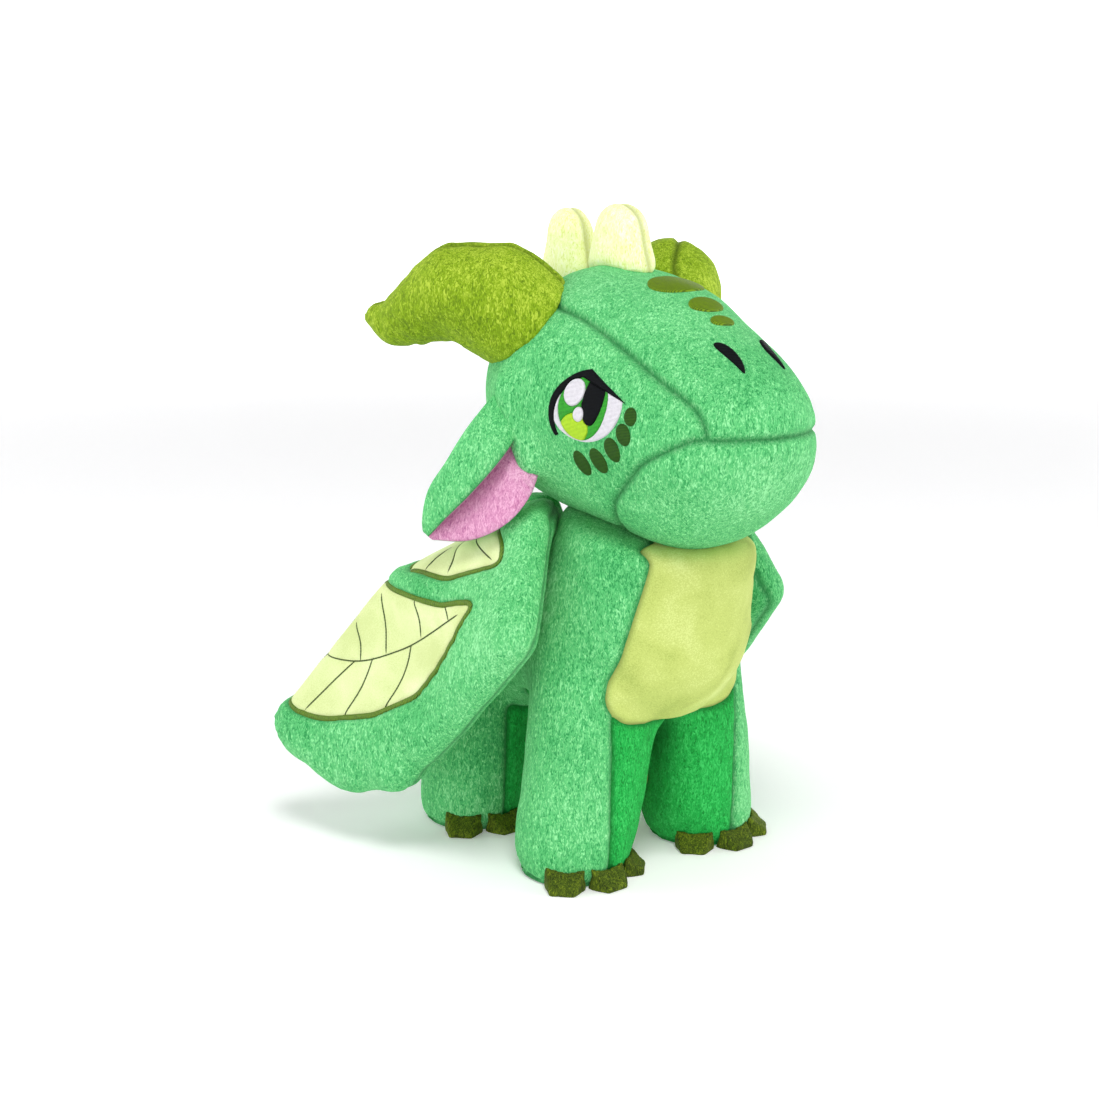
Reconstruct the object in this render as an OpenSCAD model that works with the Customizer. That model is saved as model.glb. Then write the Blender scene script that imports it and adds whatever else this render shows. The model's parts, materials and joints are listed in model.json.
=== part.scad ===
// Plush dragon, standing on four legs with its wings folded down and its ears hanging.
// The dragon faces -Y, its right side is -X, and the floor is z = 0.
// Origin: centre of the model's box at the floor.

/* [Fabric] */
// Thickness of the plush fabric
plush_t = 1.6; // [1.2:0.1:2.2]
// Thickness of the smooth fabric patches sewn flat on the wings
patch_t = 0.7; // [0.4:0.1:1]
// Height of the embroidery above the fabric
thread_t = 0.8; // [0.5:0.1:1.1]
// Hair gap between the filling and the fabric around it
fill_gap = 0.05; // [0.03:0.01:0.1]
// Free gap across the neck seam, which the head turns on
neck_gap = 0.35; // [0.3:0.05:0.6]
// Free gap around the roots of the wings, ears and tail in their hollows
root_gap = 1.5; // [1.3:0.1:1.6]

/* [Legs] */
// Diameter of each leg
leg_d = 39; // [36:1:40]
// Distance between the centres of the front legs
front_stance = 58; // [56:1:60]
// Distance between the centres of the hind legs
hind_stance = 52; // [50:1:54]
// Y of the front leg centres
front_leg_y = -25; // [-27:1:-23]
// Y of the hind leg centres
hind_leg_y = 37; // [35:1:39]
// Diameter of the flat sole
sole_d = 34; // [30:1:35]
// Number of claws on each foot
claws = 3; // [2:1:4]

/* [Trunk] */
// Width of the chest
chest_w = 76; // [72:1:78]
// Width of the rump
rump_w = 70; // [66:1:74]
// Diameter of the neck at its seam
neck_d = 64; // [60:1:66]
// Height of the middle of the neck seam
neck_z = 117.5; // [116:0.5:119]
// Forward tilt of the neck seam, in degrees
neck_tilt = 11; // [8:1:14]

/* [Head] */
// Width of the skull
skull_w = 92; // [88:1:96]
// Width of the muzzle
muzzle_w = 70; // [66:1:74]
// Height of the top of the crest
crest_z = 221; // [218:1:224]

/* [Wings] */
// Thickness of the padded wing border
wing_t = 12; // [10:1:13]

/* [Hidden] */

// Facets of the outer soft forms, of the forms inside the fabric, and of the exact round soles
soft_fn = 24;
inner_fn = 12;
round_fn = 64;
// How far the filling is taken in from the outer forms
fill_in = plush_t + fill_gap;
// A length that reaches past the whole model
far = 300;

// Colours
green = [0.36, 0.78, 0.47];
deep_green = [0.10, 0.56, 0.27];
pale = [0.80, 0.86, 0.48];
olive = [0.62, 0.73, 0.12];
dark_olive = [0.36, 0.44, 0.08];
lemon = [0.93, 0.97, 0.70];
pink = [0.88, 0.58, 0.76];
thread_dark = [0.05, 0.08, 0.05];
fibre = [0.95, 0.95, 0.93];

// Trunk: [centre, half-axes] of the ellipsoids that the trunk is drawn around
chest = [[0, -24, 82], [chest_w / 2, 38, 36]];
shoulders = [[0, 0, 88], [chest_w / 2 - 14, 28, 27]];
middle = [[0, 12, 74], [rump_w / 2, 34, 32]];
rump = [[0, 41, 68], [rump_w / 2, 29, 32]];
neck_centre = [0, -36, neck_z];

// Outline, from below, of the strip of the belly panel that runs back between the legs
belly_strip = [[-4, -52], [4, -52], [4, -32], [13, -10], [13, 50], [-13, 50], [-13, -10], [-4, -32]];

// Legs
leg_r = leg_d / 2;
front_x = front_stance / 2;
hind_x = hind_stance / 2;
// [x, y] of the four leg centres
LEGS = [[-front_x, front_leg_y], [front_x, front_leg_y], [-hind_x, hind_leg_y], [hind_x, hind_leg_y]];
front_hip_z = 80;
hind_hip_z = 72;
leg_top_z = 38;
inner_front_z = 60;
inner_hind_z = 46;
sole_round = 5;
sole_rim = 0.8;
hip_in = 0.5;
hip_r = 23;

// Claws: width and height at the foot, and at the tip
claw_w = 13;
claw_h = 8.5;
claw_tip_w = 8;
claw_tip_h = 2;
claw_reach = 5;
claw_step = 46;

// Head
skull = [[0, -14, 160], [skull_w / 2, 43, 41]];
brow = [[0, -32, 167], [skull_w / 2 - 13, 33, 30]];
muzzle = [[0, -63, 153], [muzzle_w / 2 - 4, 29, 25]];
lips = [[0, -63, 145], [muzzle_w / 2 - 1, 26, 24]];
chin = [[0, -50, 136], [muzzle_w / 2 - 3, 30, 24]];

// Tail: [centre, radius] along its length
tail_line = [[[0, 69, 67], 11], [[0, 80, 58], 9], [[0, 85.3, 51], 6.5], [[0, 87.4, 45], 4]];

// Horn: [centre, radius] along the right horn, from the skull to the tip
horn_line = [[[-25, -9, 177], 18], [[-37, 3, 190], 18.5], [[-46, 14, 193], 15.5],
    [[-53, 25, 187], 11], [[-57, 35, 182], 7.5], [[-60, 42, 184.5], 4.5]];

// Ear: corners of the right ear, from the hinge line to the tip, and its half thickness
ear_top = [-47.5, -11, 164];
ear_low = [-44, -19, 139];
ear_back = [-56.5, 3, 137];
ear_front = [-52, -20, 126];
ear_tip = [-62, 12, 116];
ear_r = 3.2;

// Wing: corners of the right wing
wing_r = wing_t / 2;
wing_root_top = [-16.5, 8, 116.5];
wing_root_low = [-20, 25.5, 104];
wing_arm = [-41, -17, 117];
wing_elbow = [-56, -28, 86];
wing_corner = [-62, 0, 54];
wing_heel = [-68, 21, 32];
wing_base = [-76, 42, 27];
wing_tip = [-85, 66, 40];
wing_ridge = [-60, 35, 89];

// ---------- helpers ----------

// Facets of a form taken in by g: the inner forms are coarser
function facets(g, outer = soft_fn) = g > 0 ? inner_fn : outer;

// An ellipsoid [centre, half-axes] taken in by g on every side
module blob(b, g = 0)
    translate(b[0]) scale([for (i = [0:2]) b[1][i] - g]) sphere(1, $fn = facets(g));

// A ball of radius r at p
module ball(p, r, n = 14) translate(p) sphere(r, $fn = n);

// A ball of radius r - g at p, coarser where it is taken in
module soft_ball(p, r, g, n = 14) translate(p) sphere(r - g, $fn = facets(g, n));

// The space above the tilted neck seam, raised by lift
module above_neck(lift = 0)
    translate(neck_centre) rotate([neck_tilt, 0, 0])
        translate([-far, -far, lift]) cube([2 * far, 2 * far, far]);

module mirrored(side) scale([side, 1, 1]) children();

// ---------- trunk ----------

module leg_form(leg, g = 0) {
    x = leg[0];
    y = leg[1];
    hull() {
        translate([x, y, g]) cylinder(r = sole_d / 2 + sole_rim - g, h = 0.1, $fn = facets(g));
        translate([x, y, sole_round]) cylinder(r = leg_r - g, h = 0.1, $fn = facets(g));
        soft_ball([x * hip_in, y, y > 0 ? hind_hip_z : front_hip_z], hip_r, g, soft_fn);
    }
}

module trunk_form(g = 0) {
    difference() {
        union() {
            hull() {
                translate(neck_centre) rotate([neck_tilt, 0, 0])
                    translate([0, 0, -2]) cylinder(r = neck_d / 2 - g, h = 2, $fn = facets(g, 32));
                blob(chest, g);
            }
            hull() {
                blob(chest, g);
                blob(shoulders, g);
                blob(middle, g);
            }
            hull() {
                blob(middle, g);
                blob(rump, g);
            }
            for (leg = LEGS) leg_form(leg, g);
        }
        above_neck(-g);
    }
}

// Hollows that the wing roots and the tail root turn in
module root_sockets() {
    for (side = [-1, 1]) mirrored(-side) hull() {
        ball(wing_root_top, wing_r + root_gap);
        ball(wing_root_low, wing_r + root_gap);
    }
    ball(tail_line[0][0], tail_line[0][1] + root_gap, 32);
}

module trunk_skin() {
    difference() {
        trunk_form(0);
        trunk_form(plush_t);
        root_sockets();
        for (leg = LEGS) sole_space(leg);
    }
}

module sole_space(leg)
    translate([leg[0], leg[1], -1]) cylinder(r = sole_d / 2, h = 1 + plush_t, $fn = round_fn);

// The pale panel: down the front of the chest and back under the belly
module belly_space() {
    translate([0, -20, 0]) rotate([90, 0, 0]) linear_extrude(far) hull() {
        translate([0, 114]) square([42, 20], center = true);
        translate([0, 78]) circle(28);
        translate([0, 64]) scale([1, 0.5]) circle(30);
    }
    translate([0, 0, 20]) linear_extrude(37) polygon(belly_strip);
}

// The inner faces of the legs and the strips beside the belly panel
module inner_legs_space()
    for (leg = LEGS)
        translate([leg[0] > 0 ? -1 : leg[0] + 1, leg[1] > 0 ? 4 : 4 - far, -1])
            cube([abs(leg[0]), far, leg[1] > 0 ? inner_hind_z + 1 : inner_front_z + 1]);

module torso_side(side)
    color(green) intersection() {
        difference() {
            trunk_skin();
            belly_space();
            inner_legs_space();
        }
        mirrored(side) translate([0, -far, -1]) cube([far, 2 * far, far]);
    }

module torso_side_right() torso_side(-1);
module torso_side_left() torso_side(1);

module inner_legs(side)
    color(deep_green) intersection() {
        difference() {
            trunk_skin();
            belly_space();
        }
        inner_legs_space();
        mirrored(side) translate([0, -far, -1]) cube([far, 2 * far, far]);
    }

module inner_legs_right() inner_legs(-1);
module inner_legs_left() inner_legs(1);

module belly_panel() color(pale) intersection() {
    trunk_skin();
    belly_space();
}

module torso_stuffing() color(fibre) difference() {
    trunk_form(fill_in);
    translate([-far, -far, leg_top_z - 2 * far]) cube(2 * far);
    root_sockets();
}

module leg_stuffing(leg) color(fibre) intersection() {
    leg_form(leg, fill_in);
    translate([leg[0] > 0 ? 0 : -far, -far, plush_t]) cube([far, 2 * far, leg_top_z - plush_t]);
}

module leg_stuffing_front_right() leg_stuffing(LEGS[0]);
module leg_stuffing_front_left() leg_stuffing(LEGS[1]);
module leg_stuffing_hind_right() leg_stuffing(LEGS[2]);
module leg_stuffing_hind_left() leg_stuffing(LEGS[3]);

module sole(leg) color(deep_green)
    translate([leg[0], leg[1], 0]) cylinder(r = sole_d / 2, h = plush_t, $fn = round_fn);

module sole_front_right() sole(LEGS[0]);
module sole_front_left() sole(LEGS[1]);
module sole_hind_right() sole(LEGS[2]);
module sole_hind_left() sole(LEGS[3]);

// Folded fabric claws, side by side around the front of one foot
module claw_group(leg) color(dark_olive) difference() {
    for (i = [0 : claws - 1])
        translate([leg[0], leg[1], 0]) rotate([0, 0, (i - (claws - 1) / 2) * claw_step]) hull() {
            translate([-claw_w / 2, -leg_r + 1, 0]) cube([claw_w, 2, claw_h]);
            translate([-claw_tip_w / 2, -leg_r - claw_reach, 0]) cube([claw_tip_w, 1, claw_tip_h]);
        }
    leg_form(leg);
    sole_space(leg);
}

module claws_front_right() claw_group(LEGS[0]);
module claws_front_left() claw_group(LEGS[1]);
module claws_hind_right() claw_group(LEGS[2]);
module claws_hind_left() claw_group(LEGS[3]);

// ---------- head ----------

module head_form(g = 0) {
    intersection() {
        hull() {
            blob(skull, g);
            blob(brow, g);
            blob(muzzle, g);
            blob(lips, g);
            blob(chin, g);
        }
        above_neck(neck_gap + g);
    }
}

// Hollows that the ear roots turn in
module ear_sockets() {
    for (side = [-1, 1]) mirrored(-side) hull() {
        ball(ear_top, ear_r + root_gap);
        ball(ear_low, ear_r + root_gap);
    }
}

module head_skin() difference() {
    head_form(0);
    head_form(plush_t);
    ear_sockets();
}

// The jaw lies below the mouth line and in front of the line back to the neck
module jaw_space() translate([far, 0, 0]) rotate([0, -90, 0]) linear_extrude(2 * far)
    polygon([[152, -far], [152, -78], [144, -64], [130, -48], [114, -36], [86, -36], [86, -far]]);

// The crown runs from the nape over the forehead and down the snout to the mouth line
module crown_space() difference() {
    translate([0, 0, 148]) linear_extrude(far) hull() {
        translate([0, 40]) square([30, 1], center = true);
        translate([0, -20]) square([62, 1], center = true);
        translate([0, -66]) square([52, 1], center = true);
        translate([0, -100]) square([40, 1], center = true);
    }
    jaw_space();
}

module crown_panel() color(green) intersection() {
    head_skin();
    crown_space();
}

module cheek(side) color(green) intersection() {
    difference() {
        head_skin();
        crown_space();
        jaw_space();
    }
    mirrored(side) translate([0, -far, 0]) cube([far, 2 * far, far]);
}

module cheek_right() cheek(-1);
module cheek_left() cheek(1);

module jaw_panel() color(green) intersection() {
    head_skin();
    jaw_space();
}

module head_stuffing() color(fibre) difference() {
    head_form(fill_in);
    ear_sockets();
}

// ---------- embroidery on the head ----------

// A thin layer of thread on the head, inside the space given as children
module head_thread() intersection() {
    difference() {
        head_form(-thread_t);
        head_form(0);
    }
    children();
}

module side_oval(y, z, ry, rz, turn = 0)
    translate([-far, y, z]) rotate([turn, 0, 0]) rotate([0, 90, 0])
        scale([rz, ry, 1]) cylinder(r = 1, h = far, $fn = 24);

// The row of spots under the eye: y, z and size of each, and the lean of them all
cheek_spot_places = [[-41, 142, 1], [-48, 143.5, 1], [-54, 147.5, 0.95], [-58, 152.5, 0.85], [-59.5, 158, 0.7]];
cheek_spot_lean = -18;

module crown_spots() color(dark_olive) head_thread()
    for (s = [[-41, 10.5, 7], [-55, 6.8, 3.4], [-62.5, 4.6, 2.4]])
        translate([0, s[0], 146]) scale([s[1], s[2], 1]) cylinder(r = 1, h = 100, $fn = 24);

module nostrils() color(thread_dark) head_thread()
    for (side = [-1, 1])
        translate([side * 9, -75.5, 156]) rotate([0, 0, side * -8]) scale([2, 6, 1])
            cylinder(r = 1, h = 60, $fn = 20);

module eye_oval(grow = 0) side_oval(-43.5, 160, 12.5 + grow, 11 + grow);

module eye(side) color(thread_dark) mirrored(-side) head_thread() eye_oval();

module eye_right() eye(-1);
module eye_left() eye(1);

module cheek_spots(side) color(dark_olive) mirrored(-side) difference() {
    head_thread() for (s = cheek_spot_places)
        side_oval(s[0], s[1], 2.7 * s[2], 4.1 * s[2], cheek_spot_lean);
    eye_oval(thread_t);
}

module cheek_spots_right() cheek_spots(-1);
module cheek_spots_left() cheek_spots(1);

// ---------- crest ----------

module crest_lobe(y, length, top) color(lemon) difference() {
    hull() {
        translate([0, y, 194]) scale([8, length / 2, 9]) sphere(1, $fn = 20);
        translate([0, y, top - 9]) scale([6, length / 3, 9]) sphere(1, $fn = 20);
    }
    head_form(0);
}

module crest_front() crest_lobe(-14, 32, crest_z);
module crest_rear() difference() {
    crest_lobe(13, 24, crest_z - 1);
    crest_lobe(-14, 32, crest_z);
}

// ---------- horns ----------

module horn_form(g = 0)
    for (i = [0 : len(horn_line) - 2]) hull() {
        soft_ball(horn_line[i][0], horn_line[i][1], g, 16);
        soft_ball(horn_line[i + 1][0], horn_line[i + 1][1], g, 16);
    }

module horn_cover(side) color(olive) mirrored(-side) difference() {
    horn_form(0);
    horn_form(plush_t);
    head_form(0);
}

module horn_stuffing(side) color(fibre) mirrored(-side) difference() {
    horn_form(fill_in);
    head_form(0);
}

module horn_cover_right() horn_cover(-1);
module horn_cover_left() horn_cover(1);
module horn_stuffing_right() horn_stuffing(-1);
module horn_stuffing_left() horn_stuffing(1);

// ---------- ears ----------

module ear_form() {
    hull() {
        ball(ear_top, ear_r, 14);
        ball(ear_low, ear_r, 14);
        ball(ear_back, ear_r, 14);
        ball(ear_front, ear_r, 14);
    }
    hull() {
        ball(ear_back, ear_r, 14);
        ball(ear_front, ear_r, 14);
        ball(ear_tip, ear_r, 14);
    }
}

// The lining is the layer on the side that faces forwards and outwards
module ear_lining_space() translate([-3.2, -2, 0]) ear_form();

module ear_outer(side) color(green) mirrored(-side) difference() {
    ear_form();
    ear_lining_space();
}

module ear_lining(side) color(pink) mirrored(-side) intersection() {
    ear_form();
    ear_lining_space();
}

module ear_outer_right() ear_outer(-1);
module ear_outer_left() ear_outer(1);
module ear_lining_right() ear_lining(-1);
module ear_lining_left() ear_lining(1);

// ---------- wings ----------

module wing_form(g = 0) {
    hull() {
        soft_ball(wing_root_top, wing_r, g);
        soft_ball(wing_root_low, wing_r, g);
        soft_ball(wing_arm, wing_r, g);
        soft_ball(wing_ridge, wing_r, g);
    }
    hull() {
        soft_ball(wing_arm, wing_r, g);
        soft_ball(wing_elbow, wing_r, g);
        soft_ball(wing_corner, wing_r, g);
        soft_ball(wing_ridge, wing_r, g);
    }
    hull() {
        soft_ball(wing_corner, wing_r, g);
        soft_ball(wing_heel, wing_r, g);
        soft_ball(wing_base, wing_r, g);
        soft_ball(wing_tip, wing_r, g);
        soft_ball(wing_ridge, wing_r, g);
    }
}

module wing_skin() difference() {
    wing_form(0);
    wing_form(plush_t);
}

// The back cover is the half of the skin on the side of the trunk
module wing_back_space() translate([wing_r, 0, -wing_r / 2]) wing_form(0);

module wing_front(side) color(green) mirrored(-side) difference() {
    wing_skin();
    wing_back_space();
}

module wing_back(side) color(green) mirrored(-side) intersection() {
    wing_skin();
    wing_back_space();
}

module wing_batting(side) color(fibre) mirrored(-side) wing_form(fill_in);

module wing_front_right() wing_front(-1);
module wing_front_left() wing_front(1);
module wing_back_right() wing_back(-1);
module wing_back_left() wing_back(1);
module wing_batting_right() wing_batting(-1);
module wing_batting_left() wing_batting(1);

// Outlines in side view, as [y, z] points
lower_patch = [[40, 96], [30, 93], [7, 92], [-15, 97], [-8, 82], [-1, 70], [8, 59], [24, 50], [43, 45],
    [57, 45], [68, 48], [78, 52]];
upper_patch = [[38, 101], [29, 99], [4, 99], [-18, 107], [-14, 115], [6, 124], [22, 114]];

// A prism across the outer side of the right wing from an outline in side view
module wing_prism(points, grow = 0)
    rotate([90, 0, -90]) linear_extrude(far) offset(r = grow) polygon([for (p = points) [-p[0], p[1]]]);

module wing_layer(t) difference() {
    translate([-t, 0, t / 2]) wing_form(0);
    wing_form(0);
}

module wing_patch(points, side) color(lemon) mirrored(-side) intersection() {
    wing_layer(patch_t);
    wing_prism(points);
}

module wing_patch_lower_right() wing_patch(lower_patch, -1);
module wing_patch_lower_left() wing_patch(lower_patch, 1);
module wing_patch_upper_right() wing_patch(upper_patch, -1);
module wing_patch_upper_left() wing_patch(upper_patch, 1);

module wing_embroidery(side) color(dark_olive) mirrored(-side) difference() {
    intersection() {
        wing_layer(thread_t);
        union() {
            wing_prism(lower_patch, 1.2);
            wing_prism(upper_patch, 1.2);
        }
    }
    wing_prism(lower_patch);
    wing_prism(upper_patch);
}

module wing_embroidery_right() wing_embroidery(-1);
module wing_embroidery_left() wing_embroidery(1);

// ---------- tail ----------

module tail_form(g = 0)
    for (i = [0 : len(tail_line) - 2]) hull() {
        soft_ball(tail_line[i][0], tail_line[i][1], g, 16);
        soft_ball(tail_line[i + 1][0], tail_line[i + 1][1], g, 16);
    }

module tail_cover(side) color(green) intersection() {
    difference() {
        tail_form(0);
        tail_form(plush_t);
    }
    mirrored(side) translate([0, -far, 0]) cube([far, 2 * far, far]);
}

module tail_cover_right() tail_cover(-1);
module tail_cover_left() tail_cover(1);

module tail_stuffing() color(fibre) tail_form(fill_in);

torso_stuffing();
torso_side_right();
torso_side_left();
belly_panel();
inner_legs_right();
inner_legs_left();
leg_stuffing_front_right();
leg_stuffing_front_left();
leg_stuffing_hind_right();
leg_stuffing_hind_left();
sole_front_right();
sole_front_left();
sole_hind_right();
sole_hind_left();
claws_front_right();
claws_front_left();
claws_hind_right();
claws_hind_left();
head_stuffing();
crown_panel();
cheek_right();
cheek_left();
jaw_panel();
crown_spots();
nostrils();
eye_right();
eye_left();
cheek_spots_right();
cheek_spots_left();
crest_front();
crest_rear();
horn_cover_right();
horn_cover_left();
horn_stuffing_right();
horn_stuffing_left();
ear_outer_right();
ear_outer_left();
ear_lining_right();
ear_lining_left();
wing_front_right();
wing_front_left();
wing_back_right();
wing_back_left();
wing_batting_right();
wing_batting_left();
wing_patch_lower_right();
wing_patch_lower_left();
wing_patch_upper_right();
wing_patch_upper_left();
wing_embroidery_right();
wing_embroidery_left();
tail_cover_right();
tail_cover_left();
tail_stuffing();
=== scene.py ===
import json
import math

import bmesh
import bpy
import numpy as np
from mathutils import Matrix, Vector, noise
from mathutils.bvhtree import BVHTree
from mathutils.kdtree import KDTree


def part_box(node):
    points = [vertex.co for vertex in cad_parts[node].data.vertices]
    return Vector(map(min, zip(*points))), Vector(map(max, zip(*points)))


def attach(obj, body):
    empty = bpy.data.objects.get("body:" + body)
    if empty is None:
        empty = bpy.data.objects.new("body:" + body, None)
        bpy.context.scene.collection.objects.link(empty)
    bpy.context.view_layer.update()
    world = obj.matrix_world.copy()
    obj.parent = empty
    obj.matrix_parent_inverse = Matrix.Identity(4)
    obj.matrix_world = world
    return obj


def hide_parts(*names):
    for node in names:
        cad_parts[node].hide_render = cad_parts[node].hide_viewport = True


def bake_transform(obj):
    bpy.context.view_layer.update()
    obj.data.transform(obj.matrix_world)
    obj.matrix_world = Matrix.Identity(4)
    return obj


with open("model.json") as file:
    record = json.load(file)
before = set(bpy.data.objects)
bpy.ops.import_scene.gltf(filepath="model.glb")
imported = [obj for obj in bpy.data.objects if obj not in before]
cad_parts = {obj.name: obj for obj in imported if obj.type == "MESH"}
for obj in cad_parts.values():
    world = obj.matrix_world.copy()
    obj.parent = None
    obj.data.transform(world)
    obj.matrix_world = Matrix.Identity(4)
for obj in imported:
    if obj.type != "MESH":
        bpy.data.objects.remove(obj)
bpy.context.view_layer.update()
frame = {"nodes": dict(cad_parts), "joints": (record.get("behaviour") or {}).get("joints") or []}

# Mesh work is done in millimetres, and every finished piece is made in metres
MM = 0.001
SIDES = {"right": -1, "left": 1}


# ---------- camera, floor and light ----------

def make_camera():
    """The camera stands low in front of the dragon's right side."""
    target = Vector((-0.022, -0.004, 0.106))
    azimuth, elevation, distance = math.radians(38), math.radians(12), 0.56
    back = Vector((-math.sin(azimuth) * math.cos(elevation), -math.cos(azimuth) * math.cos(elevation),
                   math.sin(elevation)))
    data = bpy.data.cameras.new("camera")
    data.sensor_width = 36
    data.lens = 54.06
    data.clip_start = 0.01
    camera = bpy.data.objects.new("camera", data)
    camera.location = target + distance * back
    camera.rotation_euler = back.to_track_quat("Z", "Y").to_euler()
    bpy.context.collection.objects.link(camera)
    bpy.context.scene.camera = camera


def area_light(name, place, size, power, tint=(1, 1, 1), target=(0, 0, 0.1)):
    data = bpy.data.lights.new(name, "AREA")
    data.shape = "DISK"
    data.size = size
    data.energy = power
    data.color = tint
    light = bpy.data.objects.new(name, data)
    light.location = place
    light.rotation_euler = (Vector(place) - Vector(target)).to_track_quat("Z", "Y").to_euler()
    bpy.context.collection.objects.link(light)


def make_studio():
    """A pale floor that curves up into a wall all round, and soft light from above."""
    world = bpy.data.worlds.new("studio")
    world.use_nodes = True
    world.node_tree.nodes["Background"].inputs["Color"].default_value = (1, 1, 1, 1)
    world.node_tree.nodes["Background"].inputs["Strength"].default_value = 0.22
    bpy.context.scene.world = world
    bpy.context.scene.view_settings.view_transform = "Standard"

    rings, steps = 96, 24
    flat, bend, top = 3.2, 1.3, 2.2
    profile = [(0.0, 0.0), (flat, 0.0)]
    for i in range(1, steps + 1):
        turn = math.pi / 2 * i / steps
        profile.append((flat + bend * math.sin(turn), bend - bend * math.cos(turn)))
    profile.append((flat + bend, top))
    verts = [(r * math.cos(2 * math.pi * k / rings), r * math.sin(2 * math.pi * k / rings), z)
             for r, z in profile[1:] for k in range(rings)]
    faces = [list(range(rings))]
    for i in range(len(profile) - 2):
        for k in range(rings):
            j = (k + 1) % rings
            faces.append([i * rings + k, i * rings + j, (i + 1) * rings + j, (i + 1) * rings + k])
    mesh = bpy.data.meshes.new("floor")
    mesh.from_pydata(verts, [], faces)
    mesh.polygons.foreach_set("use_smooth", [False] + [True] * (len(faces) - 1))
    floor = bpy.data.objects.new("floor", mesh)
    bpy.context.collection.objects.link(floor)
    # The floor glows a little more with distance, so that it ends in a pale wall
    material, nodes, links, shader, place = new_material("pale_floor")
    set_inputs(shader, {"Base Color": (0.93, 0.93, 0.935, 1), "Roughness": 0.9, "Specular IOR Level": 0.1,
                        "Emission Color": (1, 1, 1, 1)})
    reach = nodes.new("ShaderNodeVectorMath")
    reach.operation = "LENGTH"
    links.new(place, reach.inputs[0])
    glow = nodes.new("ShaderNodeMapRange")
    glow.interpolation_type = "SMOOTHSTEP"
    set_inputs(glow, {"From Min": 0.7, "From Max": 3.0, "To Min": 0.16, "To Max": 0.85})
    links.new(reach.outputs["Value"], glow.inputs["Value"])
    links.new(glow.outputs["Result"], shader.inputs["Emission Strength"])
    mesh.materials.append(material)

    area_light("key", (-0.45, -0.7, 1.6), 0.6, 15)
    area_light("side", (1.2, -0.75, 0.8), 0.7, 4)
    area_light("back", (-0.9, 0.9, 1.1), 0.8, 5)


# ---------- materials ----------

def linear(red, green, blue):
    """A colour given in 0 to 255 display values, as the shader wants it."""
    return tuple(((c / 255 + 0.055) / 1.055) ** 2.4 if c > 10 else c / 3294.6 for c in (red, green, blue))


def new_material(name):
    """A material, its nodes and links, its shader, and the place on the object."""
    material = bpy.data.materials.new(name)
    material.use_nodes = True
    nodes, links = material.node_tree.nodes, material.node_tree.links
    place = nodes.new("ShaderNodeTexCoord").outputs["Object"]
    return material, nodes, links, nodes["Principled BSDF"], place


def set_inputs(node, values):
    for socket, value in values.items():
        node.inputs[socket].default_value = value


def noise_node(nodes, links, vector, scale, detail=2.0, rough=0.5, twist=0.0):
    node = nodes.new("ShaderNodeTexNoise")
    set_inputs(node, {"Scale": scale, "Detail": detail, "Roughness": rough, "Distortion": twist})
    links.new(vector, node.inputs["Vector"])
    return node.outputs["Fac"]


def bands_node(nodes, links, vector, direction, scale, twist):
    """Ridges side by side along a direction, for knit and thread."""
    node = nodes.new("ShaderNodeTexWave")
    node.wave_type = "BANDS"
    node.bands_direction = direction
    set_inputs(node, {"Scale": scale, "Distortion": twist, "Detail": 1.0})
    links.new(vector, node.inputs["Vector"])
    return node.outputs["Fac"]


def maths(nodes, links, operation, a, b):
    node = nodes.new("ShaderNodeMath")
    node.operation = operation
    for socket, value in zip(node.inputs, (a, b)):
        if isinstance(value, (int, float)):
            socket.default_value = value
        else:
            links.new(value, socket)
    return node.outputs[0]


def blended(nodes, links, a, share_a, b, share_b):
    """a and b added together, each times its share."""
    return maths(nodes, links, "ADD", maths(nodes, links, "MULTIPLY", a, share_a),
                 maths(nodes, links, "MULTIPLY", b, share_b))


def ramp(nodes, links, value, stops):
    node = nodes.new("ShaderNodeValToRGB")
    node.color_ramp.interpolation = "EASE"
    elements = node.color_ramp.elements
    while len(elements) < len(stops):
        elements.new(0.5)
    for element, (place, colour) in zip(elements, stops):
        element.position = place
        element.color = (*colour, 1)
    links.new(value, node.inputs["Fac"])
    return node.outputs["Color"]


def surface(nodes, links, shader, height, strength, depth, grain, rough):
    """Bump up to depth millimetres from a height, and roughness from rough up, by grain."""
    bump = nodes.new("ShaderNodeBump")
    set_inputs(bump, {"Strength": strength, "Distance": depth * MM})
    links.new(height, bump.inputs["Height"])
    links.new(bump.outputs["Normal"], shader.inputs["Normal"])
    links.new(maths(nodes, links, "ADD", maths(nodes, links, "MULTIPLY", grain, 0.2), rough),
              shader.inputs["Roughness"])


def seam_shadow(nodes, links, colour, shade):
    """Painted shade: darkens a colour towards the seams, where the pile closes over them and shade falls into
    the dip.
    """
    seam = nodes.new("ShaderNodeAttribute")
    seam.attribute_name = "seam"
    mix = nodes.new("ShaderNodeMix")
    mix.data_type = "RGBA"
    links.new(maths(nodes, links, "MULTIPLY", seam.outputs["Fac"], 0.75), mix.inputs[0])
    links.new(colour, mix.inputs[6])
    mix.inputs[7].default_value = (*shade, 1)
    return mix.outputs[2]


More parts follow.
